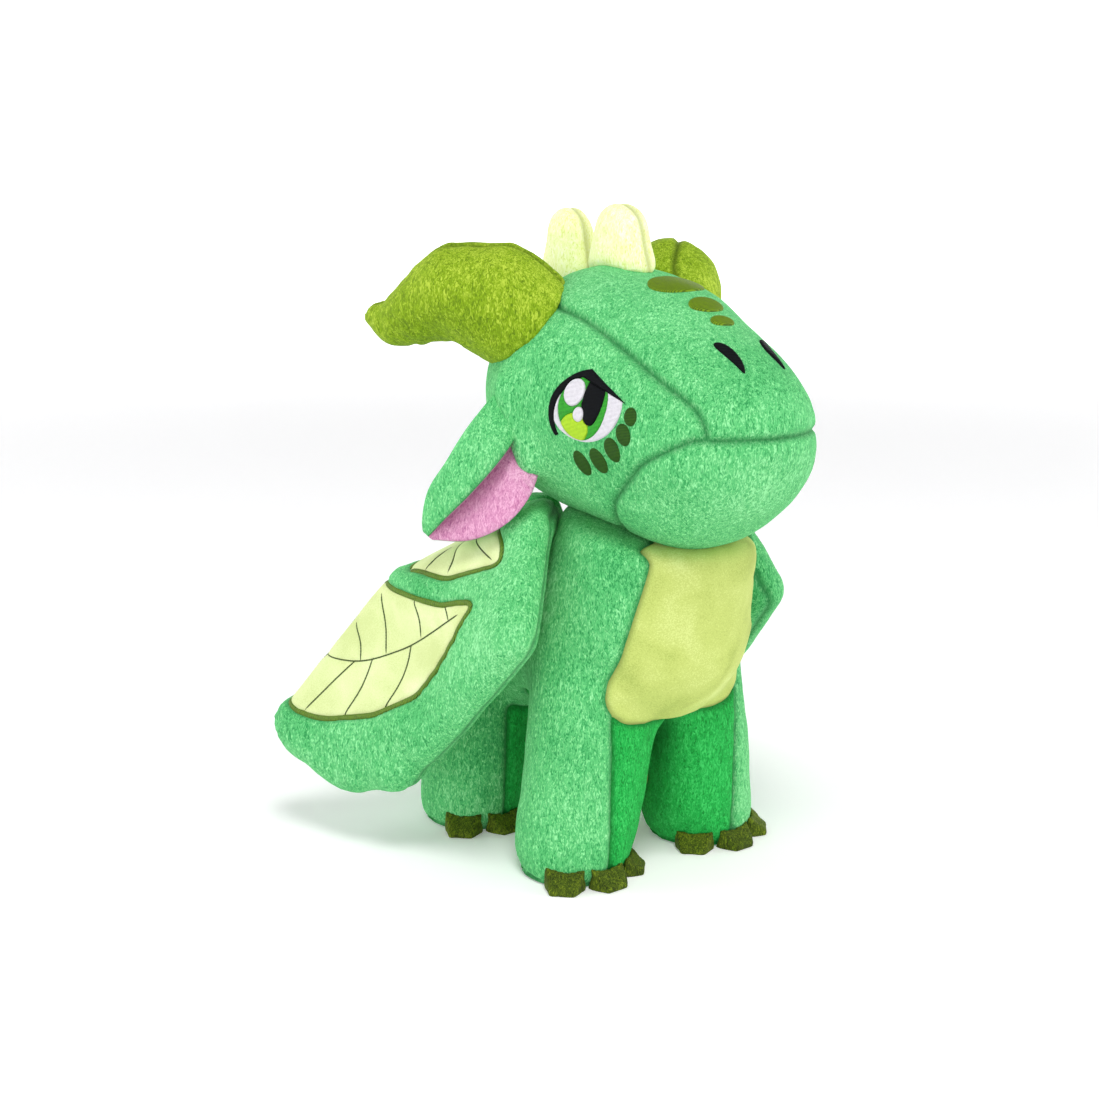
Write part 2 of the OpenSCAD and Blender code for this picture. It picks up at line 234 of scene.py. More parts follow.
def plush(name, dark, base, light, nap=0.72, depth=0.45, sheen=0.35, patchy=0.2):
    """Short pile: fine tufts that lean down, clumps of them, and broad strokes where the pile is brushed."""
    material, nodes, links, shader, place = new_material(name)
    stretch = nodes.new("ShaderNodeMapping")
    stretch.inputs["Scale"].default_value = (1, 1, 0.38)
    links.new(place, stretch.inputs["Vector"])
    tufts = noise_node(nodes, links, stretch.outputs["Vector"], 1 / (nap * MM), 3.0, 0.58, 1.5)
    clumps = noise_node(nodes, links, stretch.outputs["Vector"], 1 / (nap * 4 * MM), 2.0, 0.5, 0.6)
    strokes = noise_node(nodes, links, place, 30, 1.0, 0.5, 0.3)
    pile = blended(nodes, links, tufts, 0.86, clumps, 0.14)
    brushed = maths(nodes, links, "MULTIPLY", maths(nodes, links, "SUBTRACT", strokes, 0.5), patchy)
    tone = maths(nodes, links, "ADD", pile, brushed)
    colour = ramp(nodes, links, tone, [(0.36, dark), (0.5, base), (0.66, light)])
    colour = seam_shadow(nodes, links, colour, tuple(0.55 * c for c in dark))
    links.new(colour, shader.inputs["Base Color"])
    surface(nodes, links, shader, pile, 0.85, depth, tufts, 0.72)
    set_inputs(shader, {"Specular IOR Level": 0.22, "Sheen Weight": sheen, "Sheen Roughness": 0.45,
                        "Sheen Tint": (*light, 1)})
    return material


def velour(name, dark, base, light, grain=0.45):
    """Smooth cloth with a very short even nap over a fine knit."""
    material, nodes, links, shader, place = new_material(name)
    nap = noise_node(nodes, links, place, 1 / (grain * MM), 2.0, 0.6, 0.3)
    strokes = noise_node(nodes, links, place, 55, 2.0, 0.5, 0.5)
    knit = bands_node(nodes, links, place, "Z", 0.32 / (grain * MM), 1.5)
    tone = blended(nodes, links, nap, 0.45, strokes, 0.55)
    colour = ramp(nodes, links, tone, [(0.36, dark), (0.5, base), (0.64, light)])
    colour = seam_shadow(nodes, links, colour, tuple(0.5 * c for c in dark))
    links.new(colour, shader.inputs["Base Color"])
    surface(nodes, links, shader, blended(nodes, links, nap, 0.6, knit, 0.25), 0.45, 0.12, nap, 0.66)
    set_inputs(shader, {"Specular IOR Level": 0.25, "Sheen Weight": 0.25, "Sheen Roughness": 0.4,
                        "Sheen Tint": (*light, 1)})
    return material


def satin(name, dark, light, pitch=0.42, across="Z", rough=0.45, gloss=0.35):
    """Satin stitch: threads laid side by side, each catching the light along its back."""
    material, nodes, links, shader, place = new_material(name)
    threads = bands_node(nodes, links, place, across, 0.314 / (pitch * MM), 0.9)
    uneven = noise_node(nodes, links, place, 900, 2.0, 0.6, 0.2)
    tone = blended(nodes, links, threads, 0.45, uneven, 0.55)
    # Partly painted highlight: the colour runs lighter along the back of each thread, and it also varies at
    # random.
    links.new(ramp(nodes, links, tone, [(0.3, dark), (0.7, light)]), shader.inputs["Base Color"])
    surface(nodes, links, shader, threads, 0.6, 0.15, uneven, rough)
    set_inputs(shader, {"Specular IOR Level": gloss, "Anisotropic": 0.4})
    return material


GREEN = plush("green_minky", linear(46, 146, 78), linear(88, 190, 112), linear(150, 228, 160))
DEEP_GREEN = plush("deep_green_minky", linear(10, 124, 44), linear(26, 166, 68), linear(64, 200, 98),
                   sheen=0.15, patchy=0.15)
OLIVE = plush("olive_minky", linear(86, 118, 4), linear(126, 160, 16), linear(180, 202, 66), nap=0.8)
LEMON = plush("lemon_minky", linear(224, 234, 140), linear(244, 250, 186), linear(252, 255, 224),
              nap=0.8, depth=0.35)
PINK = plush("pink_minky", linear(180, 104, 148), linear(212, 142, 182), linear(236, 184, 212),
             nap=0.75, depth=0.35)
PALE = velour("pale_velour", linear(168, 184, 92), linear(190, 204, 110), linear(210, 222, 138))
LEAF = velour("leaf_cloth", linear(200, 214, 144), linear(214, 226, 162), linear(226, 236, 182), grain=0.35)
CLAW = plush("claw_cloth", linear(34, 46, 2), linear(66, 84, 8), linear(118, 136, 28), nap=0.6, depth=0.25,
             sheen=0.1)
EDGE = satin("edge_thread", linear(52, 80, 8), linear(112, 146, 36), pitch=0.5, across="Y")
VEIN = satin("vein_thread", linear(40, 60, 18), linear(78, 98, 42), pitch=0.5)
SPOT = satin("spot_thread", linear(66, 94, 4), linear(118, 148, 16), pitch=0.45, across="Y", gloss=0.2)
CHEEK_SPOT = satin("cheek_spot_thread", linear(22, 58, 4), linear(48, 90, 14), pitch=0.45, gloss=0.2)
BLACK = satin("black_thread", linear(2, 3, 6), linear(8, 11, 16), rough=0.5, gloss=0.12)
WHITE = satin("white_thread", linear(190, 186, 194), linear(232, 230, 236), pitch=0.38)
IRIS = satin("iris_thread", linear(14, 116, 20), linear(54, 176, 40), pitch=0.4)
IRIS_LIGHT = satin("iris_light_thread", linear(132, 186, 6), linear(186, 220, 40), pitch=0.4)


# ---------- mesh tools, in millimetres ----------

def arrays_of(mesh):
    """A mesh's vertices and triangles."""
    mesh.calc_loop_triangles()
    verts = np.empty(len(mesh.vertices) * 3)
    tris = np.empty(len(mesh.loop_triangles) * 3, dtype=np.int64)
    mesh.vertices.foreach_get("co", verts)
    mesh.loop_triangles.foreach_get("vertices", tris)
    return verts.reshape(-1, 3), tris.reshape(-1, 3)


def soup(names):
    """The vertices and triangles of some CAD nodes together."""
    meshes = [arrays_of(frame["nodes"][name].data) for name in names]
    return together([(verts / MM, tris) for verts, tris in meshes])


def capsule(a, b, radius):
    """A closed capsule between two points."""
    made = bmesh.new()
    for end in (a, b):
        ball = bmesh.ops.create_icosphere(made, subdivisions=3, radius=radius)
        bmesh.ops.translate(made, verts=ball["verts"], vec=Vector(end))
    hull = bmesh.ops.convex_hull(made, input=made.verts)
    covered = list({g for g in hull["geom_interior"] if isinstance(g, bmesh.types.BMVert)})
    bmesh.ops.delete(made, geom=covered, context="VERTS")
    bmesh.ops.triangulate(made, faces=made.faces)
    made.verts.index_update()
    verts = np.array([v.co[:] for v in made.verts])
    tris = np.array([[v.index for v in f.verts] for f in made.faces])
    made.free()
    return verts, tris


def together(parts):
    """Several meshes as one."""
    count, verts, tris = 0, [], []
    for v, t in parts:
        verts.append(v)
        tris.append(t + count)
        count += len(v)
    return np.concatenate(verts), np.concatenate(tris)


def sides_of(tris):
    """The three directed sides of every triangle."""
    return np.concatenate([tris[:, [0, 1]], tris[:, [1, 2]], tris[:, [2, 0]]])


def keys_of(pairs, count):
    """One number for each pair of vertices, in either order."""
    return pairs.min(1) * count + pairs.max(1)


def edges_of(tris, count):
    """Each edge once, with its lower vertex first."""
    keys = np.unique(keys_of(sides_of(tris), count))
    return np.stack([keys // count, keys % count], 1)


def smoothed(values, tris, rounds, share=0.5, free=None):
    """Each vertex's values drawn towards the mean of its neighbours', round after round."""
    count = len(values)
    e = edges_of(tris, count)
    near = np.bincount(e.ravel(), minlength=count)
    for _ in range(rounds):
        mean = np.stack([np.bincount(e[:, 0], values[e[:, 1], k], count)
                         + np.bincount(e[:, 1], values[e[:, 0], k], count)
                         for k in range(values.shape[1])], 1) / near[:, None]
        step = share * (mean - values)
        if free is not None:
            step = step * free[:, None]
        values = values + step
    return values


def normals_of(verts, tris):
    a, b, c = (verts[tris[:, k]] for k in range(3))
    face = np.cross(b - a, c - a)
    total = np.stack([sum(np.bincount(tris[:, k], face[:, j], len(verts)) for k in range(3))
                      for j in range(3)], 1)
    return total / np.maximum(np.linalg.norm(total, axis=1), 1e-12)[:, None]


def islands(verts, tris):
    """For each triangle the number of its connected piece, which is that piece's lowest vertex."""
    label = np.arange(len(verts))
    e = edges_of(tris, len(verts))
    while True:
        low = np.minimum(label[e[:, 0]], label[e[:, 1]])
        new = label.copy()
        np.minimum.at(new, e[:, 0], low)
        np.minimum.at(new, e[:, 1], low)
        new = new[new]
        if np.array_equal(new, label):
            return label[tris[:, 0]]
        label = new


def largest(verts, tris):
    """The connected piece of a mesh with the most triangles."""
    owner = islands(verts, tris)
    values, sizes = np.unique(owner, return_counts=True)
    return compact(verts, tris[owner == values[sizes.argmax()]])[:2]


def compact(verts, tris):
    """Only the vertices that the triangles use, the triangles renumbered, and the old numbers."""
    used, flat = np.unique(tris, return_inverse=True)
    return verts[used], flat.reshape(-1, 3), used


def remeshed(parts, voxel, rounds, free=None):
    """One even skin around all the parts, smoothed."""
    verts, tris = together(parts)
    mesh = bpy.data.meshes.new("work")
    mesh.from_pydata(verts.tolist(), [], tris.tolist())
    work = bpy.data.objects.new("work", mesh)
    bpy.context.collection.objects.link(work)
    remesh = work.modifiers.new("remesh", "REMESH")
    remesh.mode = "VOXEL"
    remesh.voxel_size = voxel
    remesh.adaptivity = 0
    shown = work.evaluated_get(bpy.context.evaluated_depsgraph_get())
    verts, tris = largest(*arrays_of(shown.to_mesh()))
    shown.to_mesh_clear()
    bpy.data.objects.remove(work)
    bpy.data.meshes.remove(mesh)
    return smoothed(verts, tris, rounds, free=None if free is None else free(verts)), tris


def distances(verts, names, reach=10.0):
    """How far each vertex is from each CAD node, up to reach."""
    result = np.full((len(verts), len(names)), reach)
    points = verts.tolist()
    for k, name in enumerate(names):
        v, t = soup([name])
        find = BVHTree.FromPolygons(v.tolist(), t.tolist()).find_nearest
        for i, point in enumerate(points):
            found = find(point, reach)[3]
            if found is not None:
                result[i, k] = found
    return result


def cut(verts, tris, field, extra):
    """Splits the triangles that the line field = 0 crosses, and carries extra values along."""
    field, verts, extra = field.copy(), verts.copy(), extra.copy()
    # A vertex nearer to the line than this part of its edge moves onto it
    snap = 0.2
    e = edges_of(tris, len(verts))
    crossing = field[e[:, 0]] * field[e[:, 1]] < 0
    for flip in (False, True):
        pairs = e[crossing][:, ::-1] if flip else e[crossing]
        a, b = pairs[:, 0], pairs[:, 1]
        with np.errstate(all="ignore"):
            part = field[a] / (field[a] - field[b])
        near = (part > 0) & (part < snap) & (field[a] != 0) & (field[b] != 0)
        a, b, part = a[near], b[near], part[near][:, None]
        a, first = np.unique(a, return_index=True)
        b, part = b[first], part[first]
        verts[a] = verts[a] * (1 - part) + verts[b] * part
        extra[a] = extra[a] * (1 - part) + extra[b] * part
        field[a] = 0
    e = e[field[e[:, 0]] * field[e[:, 1]] < 0]
    a, b = e[:, 0], e[:, 1]
    part = (field[a] / (field[a] - field[b]))[:, None]
    count = len(verts)
    keys = a * count + b
    order = np.argsort(keys)
    keys = keys[order]
    fresh = count + np.arange(len(keys))
    a, b, part = a[order], b[order], part[order]
    verts = np.concatenate([verts, verts[a] * (1 - part) + verts[b] * part])
    extra = np.concatenate([extra, extra[a] * (1 - part) + extra[b] * part])
    field = np.concatenate([field, np.zeros(len(keys))])

    def middle(p, q):
        low, high = np.minimum(p, q), np.maximum(p, q)
        place = np.searchsorted(keys, low * count + high)
        place = np.minimum(place, max(len(keys) - 1, 0))
        hit = keys[place] == low * count + high if len(keys) else np.zeros(len(p), bool)
        return np.where(hit, fresh[place] if len(keys) else 0, -1)

    mids = np.stack([middle(tris[:, k], tris[:, (k + 1) % 3]) for k in range(3)], 1)
    number = (mids >= 0).sum(1)
    out = [tris[number == 0]]
    for k in range(3):
        one = (number == 1) & (mids[:, k] >= 0)
        p, q, r, m = tris[one, k], tris[one, (k + 1) % 3], tris[one, (k + 2) % 3], mids[one, k]
        out += [np.stack([p, m, r], 1), np.stack([m, q, r], 1)]
        two = (number == 2) & (mids[:, k] < 0)
        p, q, r = tris[two, k], tris[two, (k + 1) % 3], tris[two, (k + 2) % 3]
        m, n = mids[two, (k + 1) % 3], mids[two, (k + 2) % 3]
        out += [np.stack([p, q, m], 1), np.stack([p, m, n], 1), np.stack([n, m, r], 1)]
    return verts, np.concatenate(out), field, extra


def cut_panels(verts, tris, far_from):
    """Cuts a skin into panels, each nearest one column of far_from. Returns a label per triangle too."""
    panels = far_from.shape[1]
    for k in range(panels - 1):
        others = np.delete(far_from, k, 1).min(1)
        verts, tris, _, far_from = cut(verts, tris, far_from[:, k] - others, far_from)
    label = far_from[tris].mean(1).argmin(1)
    return verts, tris, far_from, tidy_labels(tris, label, len(verts))


def tidy_labels(tris, label, count, rounds=3):
    """Gives a triangle that two neighbours outvote their label."""
    keys = keys_of(sides_of(tris), count)
    owner = np.tile(np.arange(len(tris)), 3)
    order = np.argsort(keys, kind="stable")
    same = keys[order][:-1] == keys[order][1:]
    p, q = owner[order][:-1][same], owner[order][1:][same]
    for _ in range(rounds):
        votes = np.zeros((len(tris), label.max() + 1), int)
        np.add.at(votes, (p, label[q]), 1)
        np.add.at(votes, (q, label[p]), 1)
        best = votes.argmax(1)
        change = (votes.max(1) >= 2) & (votes[np.arange(len(tris)), label] <= 1) & (best != label)
        if not change.any():
            break
        label = np.where(change, best, label)
    return label


def seam_vertices(tris, label, count):
    """The vertices where triangles of different labels meet."""
    low = np.full(count, label.max() + 1)
    high = np.full(count, -1)
    for k in range(3):
        np.minimum.at(low, tris[:, k], label)
        np.maximum.at(high, tris[:, k], label)
    return np.nonzero(low < high)[0]


def nearest(verts, points):
    """Distance to the nearest of some points, and which it is."""
    tree = KDTree(len(points))
    for i, point in enumerate(points.tolist()):
        tree.insert(point, i)
    tree.balance()
    found = [tree.find(v)[1:] for v in verts.tolist()]
    return np.array([f[1] for f in found]), np.array([f[0] for f in found])


def wander(points, size, seed=0.0):
    """Smooth noise from -1 to 1 over places, with features about size across."""
    shift = Vector((seed * 7.3, seed * 3.1, seed * 5.7))
    return np.array([noise.noise(Vector(p) / size + shift) for p in points.tolist()])


def puffed(verts, tris, seams, puff, groove, lumps, seed, reach=14.0, width=1.3, puckers=0.5):
    """Stuffed cloth: it swells between its seams, dips along them, gathers beside them and is uneven."""
    away, which = nearest(verts, seams)
    gather = wander(seams, 4.5, seed)[which] * np.exp(-((away - 4) / 4.5) ** 2)
    rise = (puff * (1 - np.exp(-away / reach)) - groove * np.exp(-(away / width) ** 2)
            + puckers * gather + lumps * wander(verts, 22, seed + 1)
            + 0.3 * lumps * wander(verts, 8, seed + 2))
    # The second value, 1 on a seam and fading away from it, sets the painted shade there.
    return verts + normals_of(verts, tris) * rise[:, None], np.exp(-(away / (0.8 * width)) ** 2)


def border_edges(tris, count):
    """The directed edges that only one triangle has."""
    pairs = sides_of(tris)
    _, first, number = np.unique(keys_of(pairs, count), return_index=True, return_counts=True)
    return pairs[first[number == 1]]


def shell_faces(tris, rim, count):
    """The triangles outside, the same numbered count later inside, and a rim between."""
    between = np.stack([rim[:, 1], rim[:, 0], rim[:, 0] + count, rim[:, 1] + count], 1)
    return tris.tolist() + (tris[:, ::-1] + count).tolist() + between.tolist()


def make_piece(name, verts, faces, material, seam=None, sharp=None):
    """A mesh object in metres from vertices in millimetres."""
    mesh = bpy.data.meshes.new(name)
    mesh.from_pydata((np.asarray(verts) * MM).tolist(), [], [list(map(int, f)) for f in faces])
    mesh.polygons.foreach_set("use_smooth", [True] * len(mesh.polygons))
    if seam is not None:
        # The seam value sets the painted shade: darker towards the seams.
        mesh.attributes.new("seam", "FLOAT", "POINT").data.foreach_set("value", seam.astype(np.float32))
    if sharp is not None and len(sharp):
        count = len(mesh.vertices)
        ends = np.empty(len(mesh.edges) * 2, dtype=np.int64)
        mesh.edges.foreach_get("vertices", ends)
        marked = np.isin(keys_of(ends.reshape(-1, 2), count), keys_of(sharp, count))
        mesh.attributes.new("sharp_edge", "BOOLEAN", "EDGE").data.foreach_set("value", marked)
    mesh.materials.append(material)
    piece = bpy.data.objects.new(name, mesh)
    bpy.context.collection.objects.link(piece)
    return piece


def cloth_piece(name, verts, tris, normals, material, thick=1.4, seam=None, rise=None):
    """A closed shell of cloth: the given triangles, the same set in by thick, and a rim between."""
    outer, flat, used = compact(verts, tris)
    inner = outer - normals[used] * thick
    if rise is not None:
        outer = outer + normals[used] * rise[used][:, None]
    count = len(outer)
    rim = border_edges(flat, count)
    shade = None if seam is None else np.tile(seam[used], 2)
    faces = shell_faces(flat, rim, count)
    return make_piece(name, np.concatenate([outer, inner]), faces, material, shade, rim)


def finish_piece(piece, body, nodes):
    """Hangs a piece on its body and hides the CAD nodes it stands for, filling included. A blended piece has
    no body here.
    """
    if body:
        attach(piece, body)
    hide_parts(*nodes)


# ---------- trunk and legs ----------

LEGS = [f"{end}_{side}" for end in ("front", "hind") for side in SIDES]


def joint_place(name):
    """A joint's place in millimetres, and its axis."""
    for joint in frame["joints"]:
        if joint["name"] == name:
            return np.array(joint["pos_m"]) / MM, np.array(joint["axis"])
    raise KeyError(name)


def pointing_down(axis):
    return -axis if axis[2] > 0 else axis


# Where the visible belly panel ends: at its hem between the front legs, at the neck, and short of the tail
HEM_Z, HEM_Y = 54, -22
NECK_Y, NECK_Z = -50, 105
REAR_Y = 36
# What lies lower than this rests on the floor
SOLE_Z = 1.0


def make_trunk():
    panels = ["torso_side_right", "torso_side_left", "belly_panel", "inner_legs_right", "inner_legs_left"]
    panels += ["sole_" + leg for leg in LEGS]
    filling = ["torso_stuffing"] + ["leg_stuffing_" + leg for leg in LEGS]
    fillers = []
    for side in SIDES:
        place, axis = joint_place(f"wing_{side}_flap")
        fillers.append(capsule(place, place + 21.5 * pointing_down(axis), 8.0))
    tail, _ = joint_place("tail_wag")
    fillers.append(capsule(tail - (0, 6, 0), tail, 13.0))
    verts, tris = remeshed([soup(panels + filling)] + fillers, 1.25, 34,
                           free=lambda v: np.where(v[:, 2] < SOLE_Z, 0.2, 1.0))
    far_from = distances(verts, panels)
    # Below the hem between the front legs the deep green inner-leg cloth takes over: partly where the belly
    # panel really ends, partly painted shade, so that the gap there reads dark.
    hem = np.clip((HEM_Z - verts[:, 2]) / 4, 0, 1) * np.clip((HEM_Y - verts[:, 1]) / 4, 0, 1)
    neck = np.clip((verts[:, 1] - NECK_Y) / 3, 0, 1) * (verts[:, 2] > NECK_Z)
    rear = np.clip((verts[:, 1] - REAR_Y) / 4, 0, 1)
    far_from[:, panels.index("belly_panel")] += 10 * (hem + neck + rear)
    far_from = smoothed(far_from, tris, 3)
    verts, tris, _, label = cut_panels(verts, tris, far_from)
    seams = verts[seam_vertices(tris, label, len(verts))]
    flat = verts[:, 2] < SOLE_Z
    top = verts[:, 2].max()
    puffy, shade = puffed(verts, tris, seams, puff=1.3, groove=1.0, lumps=0.7, seed=3)
    # The crease that closes between the front legs under the hem: pushed in, and darkened with painted shade
    crease = (np.exp(-(verts[:, 0] / 4.5) ** 2) * np.clip((HEM_Z - verts[:, 2]) / 5, 0, 1)
              * np.clip((HEM_Y - verts[:, 1]) / 6, 0, 1))
    puffy = puffy - normals_of(verts, tris) * 3.5 * crease[:, None]
    shade = np.maximum(shade, crease)
    verts = np.where(flat[:, None], verts, puffy)
    verts[:, 2] = np.clip(verts[:, 2], 0.0, top)
    normals = normals_of(verts, tris)
    for k, panel in enumerate(panels):
        if panel == "belly_panel":
            look, slot = PALE, "pale_fabric"
        elif panel.startswith("torso"):
            look, slot = GREEN, "green_plush"
        else:
            look, slot = DEEP_GREEN, "green_plush"
        piece = cloth_piece(panel + "_cloth", verts, tris[label == k], normals, look, seam=shade)
        nodes = [panel]
        if panel.startswith("torso_side"):
            side = panel.rsplit("_", 1)[1]
            nodes += [f"leg_stuffing_front_{side}", f"leg_stuffing_hind_{side}", "torso_stuffing"]
        finish_piece(piece, "torso", nodes)


def welded(verts, tris):
    """A mesh with its doubled vertices joined."""
    mesh = bpy.data.meshes.new("work")
    mesh.from_pydata(verts.tolist(), [], tris.tolist())
    work = bmesh.new()
    work.from_mesh(mesh)
    bmesh.ops.remove_doubles(work, verts=work.verts, dist=0.01)
    work.to_mesh(mesh)
    work.free()
    result = arrays_of(mesh)
    bpy.data.meshes.remove(mesh)
    return result


def make_claws():
    for leg in LEGS:
        node = "claws_" + leg
        verts, tris = welded(*soup([node]))
        owner = islands(verts, tris)
        claws = []
        for claw in np.unique(owner):
            v, t = remeshed([compact(verts, tris[owner == claw])[:2]], 0.42, 9)
            v = v + normals_of(v, t) * (0.35 + 0.25 * wander(v - v.mean(0), 3.0, 1.0))[:, None]
            v[:, 2] = np.maximum(v[:, 2] * 0.85, 0.0)
            claws.append((v, t))
        verts, tris = together(claws)
        piece = make_piece(node + "_cloth", verts, tris, CLAW)
        finish_piece(piece, "torso", [node])


# ---------- head ----------

def oval(verts, y, z, ry, rz, turn=0.0):
    """Signed distance, about, from an oval drawn in side view: below 0 inside."""
    c, s = math.cos(math.radians(turn)), math.sin(math.radians(turn))
    u, v = verts[:, 1] - y, verts[:, 2] - z
    a, b = (u * c + v * s) / ry, (-u * s + v * c) / rz
    r = np.hypot(a, b)
    return (r - 1) * r / np.maximum(np.hypot(a / ry, b / rz), 1e-6)


def finer(verts, tris, normals):
    """Each triangle split into four."""
    count = len(verts)
    e = edges_of(tris, count)
    keys = keys_of(e, count)
    verts = np.concatenate([verts, (verts[e[:, 0]] + verts[e[:, 1]]) / 2])
    normals = np.concatenate([normals, normals[e[:, 0]] + normals[e[:, 1]]])
    normals /= np.linalg.norm(normals, axis=1)[:, None]
    a, b, c = tris.T
    ab, bc, ca = (count + np.searchsorted(keys, keys_of(np.stack(side, 1), count))
                  for side in ((a, b), (b, c), (c, a)))
    tris = np.concatenate([np.stack(t, 1) for t in ((a, ab, ca), (ab, b, bc), (ca, bc, c), (ab, bc, ca))])
    return verts, tris, normals


def stitched(name, skin, field, material, side=None, height=0.55, edge=0.9):
    """Thread sewn over the skin where field is below 0: raised, round at its edge, closed underneath."""
    verts, tris, normals = skin
    value = field(verts)
    near = (value[tris] < 1.5).any(1)
    if side is not None:
        near &= (verts[tris, 0] * side > 0).all(1)
    v, t, used = compact(verts, tris[near])
    n = normals[used]
    for _ in range(2):
        v, t, n = finer(v, t, n)
    v, t, value, n = cut(v, t, field(v), n)
    n /= np.linalg.norm(n, axis=1)[:, None]
    t = t[value[t].sum(1) < 0]
    deep = np.clip(-value / edge, 0, 1)
    rise = 0.1 + height * np.sqrt(1 - (1 - deep) ** 2)
    return cloth_piece(name, v, t, n, material, thick=0.7, rise=rise)


def make_head():
    panels = ["crown_panel", "cheek_right", "cheek_left", "jaw_panel"]
    fillers = []
    for side, sign in SIDES.items():
        top, axis = joint_place(f"ear_{side}_flap")
        top = top + (-2.6 * sign, 0, 0)
        fillers.append(capsule(top, top + 26 * pointing_down(axis), 4.2))
    verts, tris = remeshed([soup(panels + ["head_stuffing"])] + fillers, 1.15, 30)
    far_from = smoothed(distances(verts, panels), tris, 4)
    verts, tris, _, label = cut_panels(verts, tris, far_from)
    seams = verts[seam_vertices(tris, label, len(verts))]
    verts, shade = puffed(verts, tris, seams, puff=1.2, reach=16, groove=1.25, width=1.4, lumps=0.7,
                          puckers=0.45, seed=11)
    normals = normals_of(verts, tris)
    for k, panel in enumerate(panels):
        piece = cloth_piece(panel + "_cloth", verts, tris[label == k], normals, GREEN, seam=shade)
        nodes = [panel, "head_stuffing"] if panel == "crown_panel" else [panel]
        finish_piece(piece, "head", nodes)
    return verts, tris, normals


# Cheek spots on both sides, from front to back: place in side view, and size
CHEEK_SPOTS = [(-41, 142, 1), (-48, 143.5, 1), (-54, 147.5, 0.95), (-58, 152.5, 0.85), (-59.5, 158, 0.7)]
CHEEK_SPOT_LEAN = -18
# Forehead spots from back to front: place along the crown, half width and half length
CROWN_SPOTS = [(-41, 10.5, 7), (-55, 6.8, 3.4), (-62.5, 4.6, 2.4)]
NOSTRIL_X, NOSTRIL_Y, NOSTRIL_LENGTH = 9.3, -75.5, 6
# What is sewn on the snout and crown lies above this
CROWN_Z = 146


def make_face(skin):
    for side, sign in SIDES.items():
        low, high = (np.array(c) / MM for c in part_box("eye_" + side))
        y, z = (low[1] + high[1]) / 2, (low[2] + high[2]) / 2
        ry, rz = (high[1] - low[1]) / 2, (high[2] - low[2]) / 2

        def part(u, v, ru, rv, turn=0.0):
            """An oval in the eye's own measure: u runs forwards and v upwards, 1 at the eye's edge."""
            return lambda p: oval(p, y - u * ry, z + v * rz, ru * ry, rv * rz, turn)

        def under(u, v, slope):
            """Below 0 under a slanting line through (u, v), in the eye's own measure."""
            return lambda p: (p[:, 2] - z) - v * rz - slope * rz * ((y - p[:, 1]) / ry - u)

        white = part(0.04, -0.06, 0.98, 0.93)
        outline = part(0.02, -0.2, 1.04, 1.22)
        lash_inside = part(0.19, -0.3, 1.04, 1.2)
        brow = under(0.16, 0.84, -0.75)
        lid = under(-0.2, 0.76, -0.48)
        lid_reach = part(0.2, -0.2, 1.3, 1.22)
        lash_end = under(-0.94, -0.96, 0.565)
        iris = part(-0.06, -0.03, 0.68, 0.92)
        pupil = part(0.2, 0.2, 0.29, 0.72)
        glow = part(-0.24, -0.62, 0.42, 0.42)
        glint = part(-0.36, 0.36, 0.28, 0.38)
        spark = part(-0.14, -0.23, 0.16, 0.21)

        def lash(p):
            bow = np.max([outline(p), -lash_inside(p), brow(p), -lash_end(p)], axis=0)
            return np.minimum(bow, np.max([brow(p), -lid(p), lid_reach(p)], axis=0))

        def inside(*fields):
            """The part of the white of the eye that lies in every one of the fields."""
            return lambda p: np.max([white(p), brow(p)] + [f(p) for f in fields], axis=0)

        layers = [
            ("glint", WHITE, lambda p: np.minimum(glint(p), spark(p))),
            ("lash", BLACK, lash),
            ("pupil", BLACK, inside(pupil)),
            ("iris_light", IRIS_LIGHT, inside(iris, glow)),
            ("iris", IRIS, inside(iris)),
            ("white", WHITE, inside())]
        above = []
        for name, look, field in layers:
            def shown(p, field=field, above=tuple(above)):
                value = field(p)
                for other in above:
                    value = np.maximum(value, -other(p))
                return value
            piece = stitched(f"eye_{name}_{side}", skin, shown, look, sign, height=0.5, edge=0.6)
            finish_piece(piece, "head", ["eye_" + side])
            above.append(field)

        def cheek_spots(p):
            return np.min([oval(p, spot_y, spot_z, 2.7 * size, 4.1 * size, CHEEK_SPOT_LEAN)
                           for spot_y, spot_z, size in CHEEK_SPOTS], axis=0)

        piece = stitched("cheek_spots_thread_" + side, skin, cheek_spots, CHEEK_SPOT, sign)
        finish_piece(piece, "head", ["cheek_spots_" + side])

    def seen_from_above(p, x, y, rx, ry, turn=0.0):
        turned = np.stack([p[:, 0] * 0, p[:, 0], p[:, 1]], 1)
        value = oval(turned, x, y, rx, ry, turn)
        return np.where(p[:, 2] > CROWN_Z, value, 9.0)

    def crown_spots(p):
        return np.min([seen_from_above(p, 0, y, rx, ry) for y, rx, ry in CROWN_SPOTS], axis=0)

    def nostrils(p):
        # Each is bowed inwards and tapers towards the front
        along = np.clip((p[:, 1] - NOSTRIL_Y) / NOSTRIL_LENGTH, -1, 1)
        taper = 1.75 + 0.5 * along
        bowed = p + np.stack([np.sign(p[:, 0]) * 1.3 * (1 - along ** 2), p[:, 1] * 0, p[:, 1] * 0], 1)
        return np.min([seen_from_above(bowed, sign * NOSTRIL_X, NOSTRIL_Y, taper, NOSTRIL_LENGTH, sign * -8)
                       for sign in (-1, 1)], axis=0)

    piece = stitched("crown_spots_thread", skin, crown_spots, SPOT)
    finish_piece(piece, "head", ["crown_spots"])
    piece = stitched("nostrils_thread", skin, nostrils, BLACK)
    finish_piece(piece, "head", ["nostrils"])


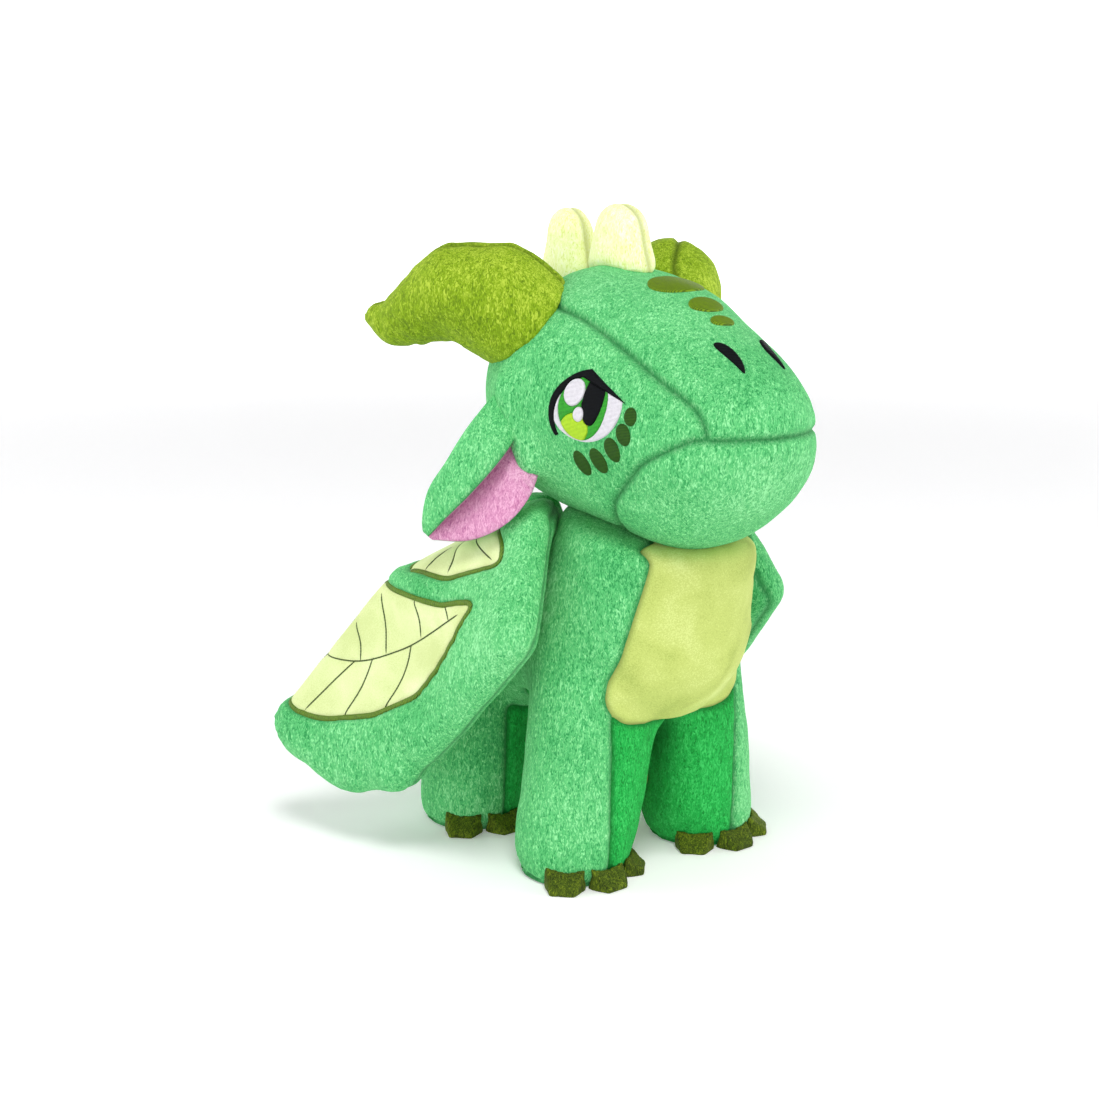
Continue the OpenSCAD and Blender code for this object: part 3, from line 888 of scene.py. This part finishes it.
def make_crest():
    for lobe in ("crest_front", "crest_rear"):
        low, high = (np.array(c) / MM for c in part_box(lobe))
        verts, tris = remeshed([soup([lobe])], 0.75, 16)
        middle = (low[1] + high[1]) / 2
        ends = np.clip((verts[:, 2] - low[2]) / (high[2] - low[2]), 0, 1)
        across = np.exp(-(verts[:, 0] / 1.2) ** 2)
        normals = normals_of(verts, tris)
        rise = 0.9 - 1.3 * across + 0.6 * wander(verts, 9, middle)
        verts = verts + normals * (rise * np.minimum(1, ends * 4 + 0.2))[:, None]
        # The dip down the middle of each lobe is darkened as well: painted shade.
        piece = make_piece(lobe + "_cloth", verts, tris, LEMON, across)
        finish_piece(piece, "head", [lobe])


# The seam over the top of a left horn, from the crown to the tip, seen from above
HORN_SEAM = [(26.0, -9, 0), (60.0, 43, 0)]
HORN_BASE_Z = 178


def make_horns():
    for side, sign in SIDES.items():
        cover = "horn_cover_" + side
        verts, tris = remeshed([soup([cover, "horn_stuffing_" + side])], 0.95, 16)
        low, high = (np.array(c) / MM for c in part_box(cover))
        normals = normals_of(verts, tris)
        root, tip = np.array(HORN_SEAM) * (sign, 1, 1)
        length = np.linalg.norm(tip - root)
        along = (tip - root) / length
        aside = np.array([along[1], -along[0], 0]) * sign
        part = np.clip(((verts - root) @ along) / length, 0, 1)
        off = (verts - root) @ aside - 1.5 - 6.0 * np.sin(math.pi * part)
        groove = np.exp(-(off / 1.2) ** 2) * (normals[:, 2] > 0.05)
        base = np.exp(-((verts[:, 2] - HORN_BASE_Z) / 7) ** 2)
        rise = 0.5 - 1.3 * groove + 0.5 * wander(verts, 14, 5 + sign) + 0.5 * base * wander(verts, 3.4, 9)
        beside = np.exp(-((np.abs(off) - 3) / 3) ** 2)
        gather = beside * wander(np.stack([part * 60, part * 0, part * 0], 1), 4.0, 2)
        verts = verts + normals * (rise + 0.5 * gather)[:, None]
        verts = np.clip(verts, low - 1.0, high + 1.0)
        # The groove along the seam is darkened as well: painted shade.
        piece = make_piece(cover + "_cloth", verts, tris, OLIVE, groove)
        finish_piece(piece, "head", [cover, "horn_stuffing_" + side])


# ---------- ears ----------

def through(points, places):
    """Points along a smooth curve through some points, at places from 0 to 1."""
    points = np.asarray(points, float)
    spans = len(points) - 1
    padded = np.concatenate([[2 * points[0] - points[1]], points, [2 * points[-1] - points[-2]]])
    u = np.clip(np.asarray(places), 0, 1) * spans
    i = np.minimum(u.astype(int), spans - 1)
    t = (u - i)[:, None]
    p0, p1, p2, p3 = padded[i], padded[i + 1], padded[i + 2], padded[i + 3]
    return 0.5 * (2 * p1 + (p2 - p0) * t + (2 * p0 - 5 * p1 + 4 * p2 - p3) * t ** 2
                  + (3 * p1 - p0 - 3 * p2 + p3) * t ** 3)


# The right ear hangs as a leaf folded along its back: lines along it from the head to the tip
EAR_FLAP = [(-43, -17, 150), (-52.4, -18, 141), (-58, -10, 130), (-62, -1, 121), (-63.4, 8.2, 113.6)]
EAR_FOLD = [(-44, -8.5, 163.5), (-53, -5.5, 152), (-58.5, 0.5, 140), (-62.5, 7, 128), (-63.8, 9.6, 114.2)]
EAR_BACK = [(-42, -8, 154), (-48, -1, 145), (-53, 3.5, 134), (-58, 8.5, 123.5), (-63, 9.6, 113.4)]
EAR_LOWER = [(-38, -20, 137), (-46, -25, 129), (-51, -19, 120), (-56, -6, 113.5), (-62.4, 8.2, 112.6)]


def make_ears():
    rows, columns = 70, 64
    s = np.linspace(0, 1, rows)
    t = np.linspace(0, 1, columns)
    lines = [through(line, s) for line in (EAR_FLAP, EAR_FOLD, EAR_BACK, EAR_LOWER)]
    sheet = np.empty((rows, columns, 3))
    for i in range(rows):
        flap, fold, back, lower = (line[i] for line in lines)
        belly = (back + lower) / 2 + (lower - flap) * 0.04
        sheet[i] = through([flap, (flap + fold) / 2 + (fold - lower) * 0.05, fold, back, belly, lower], t)
    grid = np.arange(rows * columns).reshape(rows, columns)
    a, b, c, d = grid[:-1, :-1], grid[1:, :-1], grid[1:, 1:], grid[:-1, 1:]
    halves = [np.stack(corners, -1).reshape(-1, 3) for corners in ((a, b, c), (a, c, d))]
    base_tris = np.concatenate(halves)
    flat = smoothed(sheet.reshape(-1, 3), base_tris, 6)
    for side, sign in SIDES.items():
        verts = flat * (-sign, 1, 1)
        tris = base_tris if sign < 0 else base_tris[:, ::-1]
        normals = normals_of(verts, tris)
        # Outwards is away from the hollow of the fold
        hollow = (np.array(EAR_FLAP[2]) + np.array(EAR_LOWER[2])) / 2 * (-sign, 1, 1)
        if ((verts - hollow) * normals).sum(1).mean() < 0:
            tris = tris[:, ::-1]
            normals = -normals
        rim = np.minimum(t, 1 - t)[None, :] * np.ones((rows, 1))
        rim = np.minimum(rim, (1 - s)[:, None] * 1.2).reshape(-1)
        soft = 1 - np.exp(-rim * 18)
        rise = (0.2 + 1.5 * soft) + 0.35 * wander(verts, 11, 3 + sign)
        outer = verts + normals * rise[:, None]
        ribs = 0.3 * np.sin(s * 130)[:, None] * np.exp(-((1 - t) / 0.16) ** 2)[None, :]
        depth = (0.3 + 1.3 * soft) + 0.3 * wander(verts, 9, 5 + sign) + ribs.reshape(-1)
        inner = verts - normals * depth[:, None]
        # Painted shade, darker towards the rim where the ear's layers are sewn together.
        edge = np.exp(-rim * 40)
        piece = layer_between(f"ear_outer_{side}_cloth", outer, verts - normals * 0.05, tris, GREEN, edge)
        blend_ear(piece)
        finish_piece(piece, None, ["ear_outer_" + side])
        under = verts - normals * 0.1
        piece = layer_between(f"ear_lining_{side}_cloth", under, inner, tris, PINK, edge * 0.4)
        blend_ear(piece)
        finish_piece(piece, None, ["ear_lining_" + side])


def layer_between(name, outer, inner, tris, material, seam):
    """A closed sheet between two faces that share their triangles."""
    count = len(outer)
    faces = shell_faces(tris, border_edges(tris, count), count)
    return make_piece(name, np.concatenate([outer, inner]), faces, material, np.tile(seam, 2))


def blend_ear(piece):
    """Bakes an ear's placement into its mesh."""
    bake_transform(piece)


# ---------- wings ----------

# Veins of the lower leaf on the right wing, in side view: [y, z] points
MIDRIB = [(60, 67), (48, 66), (36, 67), (25, 71), (10, 79), (-6, 90)]
SIDE_VEINS = [[(36, 67), (38, 73), (43, 79)], [(26, 71), (29, 80), (35, 90)], [(11, 79), (13, 85), (18, 91)],
              [(-2, 87), (0, 90), (4, 92)], [(38, 67), (46, 58), (55, 47)], [(31, 69), (33, 58), (38, 47)],
              [(16, 76), (17, 64), (22, 52)]]
# Veins of the upper leaf, the same way
TOP_VEINS = [[(-12, 108), (-6, 110), (2, 113)], [(6, 101), (6, 106), (10, 111)],
             [(18, 100), (16, 104), (15, 108)]]


def polyline_distance(points, line):
    """Distance in the plane from points to a line of straight stretches."""
    best = np.full(len(points), 1e9)
    for p, q in zip(line[:-1], line[1:]):
        step = q - p
        share = np.clip(((points - p) @ step) / (step @ step), 0, 1)[:, None]
        best = np.minimum(best, np.linalg.norm(points - (p + share * step), axis=1))
    return best


def ribbon(places, ups, width, height, ridge=0.05):
    """A raised thread line: a half-round section swept along places, with a ridge at every other ring."""
    sides = 9
    count = len(places)
    along = np.gradient(places, axis=0)
    along /= np.maximum(np.linalg.norm(along, axis=1), 1e-9)[:, None]
    ups = ups - along * (ups * along).sum(1)[:, None]
    ups /= np.linalg.norm(ups, axis=1)[:, None]
    aside = np.cross(along, ups)
    angles = np.linspace(0, math.pi, sides - 1)
    rings = []
    ends = np.minimum(1, np.sqrt(np.minimum(np.arange(count), np.arange(count)[::-1]) / 4 + 0.02))
    for i in range(count):
        swell = ends[i] * (1 + ridge * (-1) ** i)
        ring = [places[i] + aside[i] * math.cos(a) * width / 2 * swell + ups[i] * math.sin(a) * height * swell
                for a in angles]
        ring.append(places[i] - ups[i] * 0.5)
        rings.append(ring)
    verts = np.array(rings).reshape(-1, 3)
    faces = []
    for i in range(count - 1):
        for j in range(sides):
            k = (j + 1) % sides
            faces.append([i * sides + j, i * sides + k, (i + 1) * sides + k, (i + 1) * sides + j])
    faces.append(list(range(sides))[::-1])
    faces.append([(count - 1) * sides + j for j in range(sides)])
    return verts, faces


def evenly(points, pitch):
    """The points of a line again, pitch apart."""
    steps = np.linalg.norm(np.diff(points, axis=0), axis=1)
    length = np.concatenate([[0], np.cumsum(steps)])
    number = max(int(length[-1] / pitch), 4)
    at = np.linspace(0, length[-1], number)
    return np.stack([np.interp(at, length, points[:, k]) for k in range(3)], 1)


def chains(edges, keep):
    """Runs of vertices along directed edges, broken where keep is false."""
    follow = {int(a): int(b) for a, b in edges if keep[a] and keep[b]}
    starts = set(follow) - set(follow.values())
    runs = []
    while follow:
        start = starts.pop() if starts else next(iter(follow))
        run = [start]
        while run[-1] in follow:
            run.append(follow.pop(run[-1]))
        if len(run) > 12:
            runs.append(run)
    return runs


def smooth_line(points, rounds):
    points = points.copy()
    for _ in range(rounds):
        points[1:-1] += 0.5 * ((points[:-2] + points[2:]) / 2 - points[1:-1])
    return points


def make_wing(side, sign):
    skins = [f"wing_front_{side}", f"wing_back_{side}"]
    verts, tris = remeshed([soup(skins + ["wing_batting_" + side])], 1.0, 22)
    patches = [f"wing_patch_lower_{side}", f"wing_patch_upper_{side}"]
    reach = distances(verts, patches + skins, 14.0)
    reach = np.column_stack([smoothed(reach[:, :2], tris, 26), smoothed(reach[:, 2:], tris, 3)])
    # The leaves first, then the seam round the rim between the front and the back cover
    front = reach[:, 2] - reach[:, 3]
    leaf = reach[:, :2] - 0.7
    extra = np.column_stack([leaf, front])
    for k in range(2):
        verts, tris, _, extra = cut(verts, tris, extra[:, k], extra)
    verts, tris, _, extra = cut(verts, tris, extra[:, 2], extra)
    mean = extra[tris].mean(1)
    label = np.where(mean[:, 0] < 0, 0, np.where(mean[:, 1] < 0, 1, np.where(mean[:, 2] < 0, 2, 3)))
    label = tidy_labels(tris, label, len(verts))

    normals = normals_of(verts, tris)
    leaf_edge = border_edges(tris[label < 2], len(verts))
    rim_seam = seam_vertices(tris, np.maximum(label, 2), len(verts))
    away, which = nearest(verts, verts[np.unique(leaf_edge)])
    rim_away, rim_which = nearest(verts, verts[rim_seam])
    on_leaf = np.zeros(len(verts), bool)
    on_leaf[np.unique(tris[label < 2])] = True
    gather = wander(verts[np.unique(leaf_edge)], 7.0, 2 + sign)[which]
    folds = wander(verts[rim_seam], 11.0, 7 + sign)[rim_which]
    low = np.clip((62 - verts[:, 2]) / 25, 0, 1)
    puff = 2.8 * (1 - np.exp(-away / 6)) * (~on_leaf) * np.exp(-(rim_away / 30) ** 2)
    rise = (puff - 0.35 * on_leaf - 0.9 * np.exp(-(away / 1.2) ** 2) - 0.8 * np.exp(-(rim_away / 1.1) ** 2)
            + 0.9 * gather * np.exp(-((away - 4.5) / 4) ** 2) * (~on_leaf)
            + (0.5 + 2.4 * low) * folds * np.exp(-((rim_away - 7) / 7) ** 2) * (~on_leaf)
            + 0.4 * wander(verts, 16, 4 + sign))
    side_view = verts[:, 1:]
    veins = [np.array(MIDRIB, float)] + [np.array(v, float) for v in SIDE_VEINS + TOP_VEINS]
    veins = [through(np.column_stack([v, v[:, 0] * 0]), np.linspace(0, 1, 16))[:, :2] for v in veins]
    pressed = np.min([polyline_distance(side_view, v) for v in veins], axis=0)
    rise += on_leaf * (0.25 * (1 - np.exp(-(pressed / 3.5) ** 2)) - 0.35 * np.exp(-(pressed / 0.9) ** 2))
    verts = verts + normals * rise[:, None]
    normals = normals_of(verts, tris)
    shade = np.maximum(0.8 * np.exp(-(away / 1.1) ** 2), np.exp(-(rim_away / 1.0) ** 2))
    for k, node in enumerate(patches):
        piece = cloth_piece(node + "_cloth", verts, tris[label == k], normals, LEAF, thick=0.8,
                            seam=shade * 0.5)
        blend_wing(piece)
        finish_piece(piece, None, [node])
    for k, node in enumerate(skins, start=2):
        piece = cloth_piece(node + "_cloth", verts, tris[label == k], normals, GREEN, thick=1.2, seam=shade)
        blend_wing(piece)
        finish_piece(piece, None, [node, "wing_batting_" + side])

    # Satin stitch along the leaves' edges, on the outer face only
    outer_face = normals[:, 0] * sign > 0.12
    parts = []
    for k in (0, 1):
        for run in chains(border_edges(tris[label == k], len(verts)), outer_face):
            line = smooth_line(verts[run] + normals[run] * 0.35, 12)
            ups = smooth_line(normals[run], 20)
            even = evenly(line, 0.55)
            _, where = nearest(even, line)
            parts.append(ribbon(even, smooth_line(ups[where], 6), 2.0, 0.8))
    edge = joined(f"wing_edge_thread_{side}", parts, EDGE)
    blend_wing(edge)
    finish_piece(edge, None, ["wing_embroidery_" + side])

    tree = BVHTree.FromPolygons(verts.tolist(), tris.tolist())
    parts = []
    for vein in veins:
        places, ups = [], []
        for y, z in evenly(np.column_stack([vein, vein[:, 0] * 0]), 0.5)[:, :2]:
            hit, normal, face, _ = tree.ray_cast(Vector((150.0 * sign, y, z)), Vector((-sign, 0, 0)))
            if hit is not None and label[face] < 2:
                places.append(np.array(hit))
                ups.append(np.array(normal))
        if len(places) > 8:
            places, ups = smooth_line(np.array(places), 4), smooth_line(np.array(ups), 10)
            parts.append(ribbon(places, ups, 0.5, 0.3, 0.12))
    thread = joined(f"wing_vein_thread_{side}", parts, VEIN)
    blend_wing(thread)
    finish_piece(thread, None, ["wing_embroidery_" + side])


def joined(name, parts, material):
    """One piece from several closed meshes."""
    verts, faces, count = [], [], 0
    for v, f in parts:
        verts.append(v)
        faces += [[i + count for i in face] for face in f]
        count += len(v)
    return make_piece(name, np.concatenate(verts), faces, material)


def blend_wing(piece):
    """Bakes a wing's placement into its mesh."""
    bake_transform(piece)


# ---------- tail ----------

def make_tail():
    covers = ["tail_cover_right", "tail_cover_left"]
    verts, tris = remeshed([soup(covers + ["tail_stuffing"])], 0.9, 14)
    far_from = np.stack([verts[:, 0] * 1.0, -verts[:, 0]], 1)
    verts, tris, _, label = cut_panels(verts, tris, far_from)
    seams = verts[seam_vertices(tris, label, len(verts))]
    verts, shade = puffed(verts, tris, seams, puff=0.7, reach=6, groove=0.9, lumps=0.4, puckers=0.3, seed=21)
    normals = normals_of(verts, tris)
    for k, cover in enumerate(covers):
        piece = cloth_piece(cover + "_cloth", verts, tris[label == k], normals, GREEN, thick=1.2, seam=shade)
        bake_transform(piece)
        finish_piece(piece, None, [cover, "tail_stuffing"])


make_camera()
make_studio()
make_trunk()
make_claws()
head_skin = make_head()
make_face(head_skin)
make_crest()
make_horns()
make_ears()
for side, sign in SIDES.items():
    make_wing(side, sign)
make_tail()
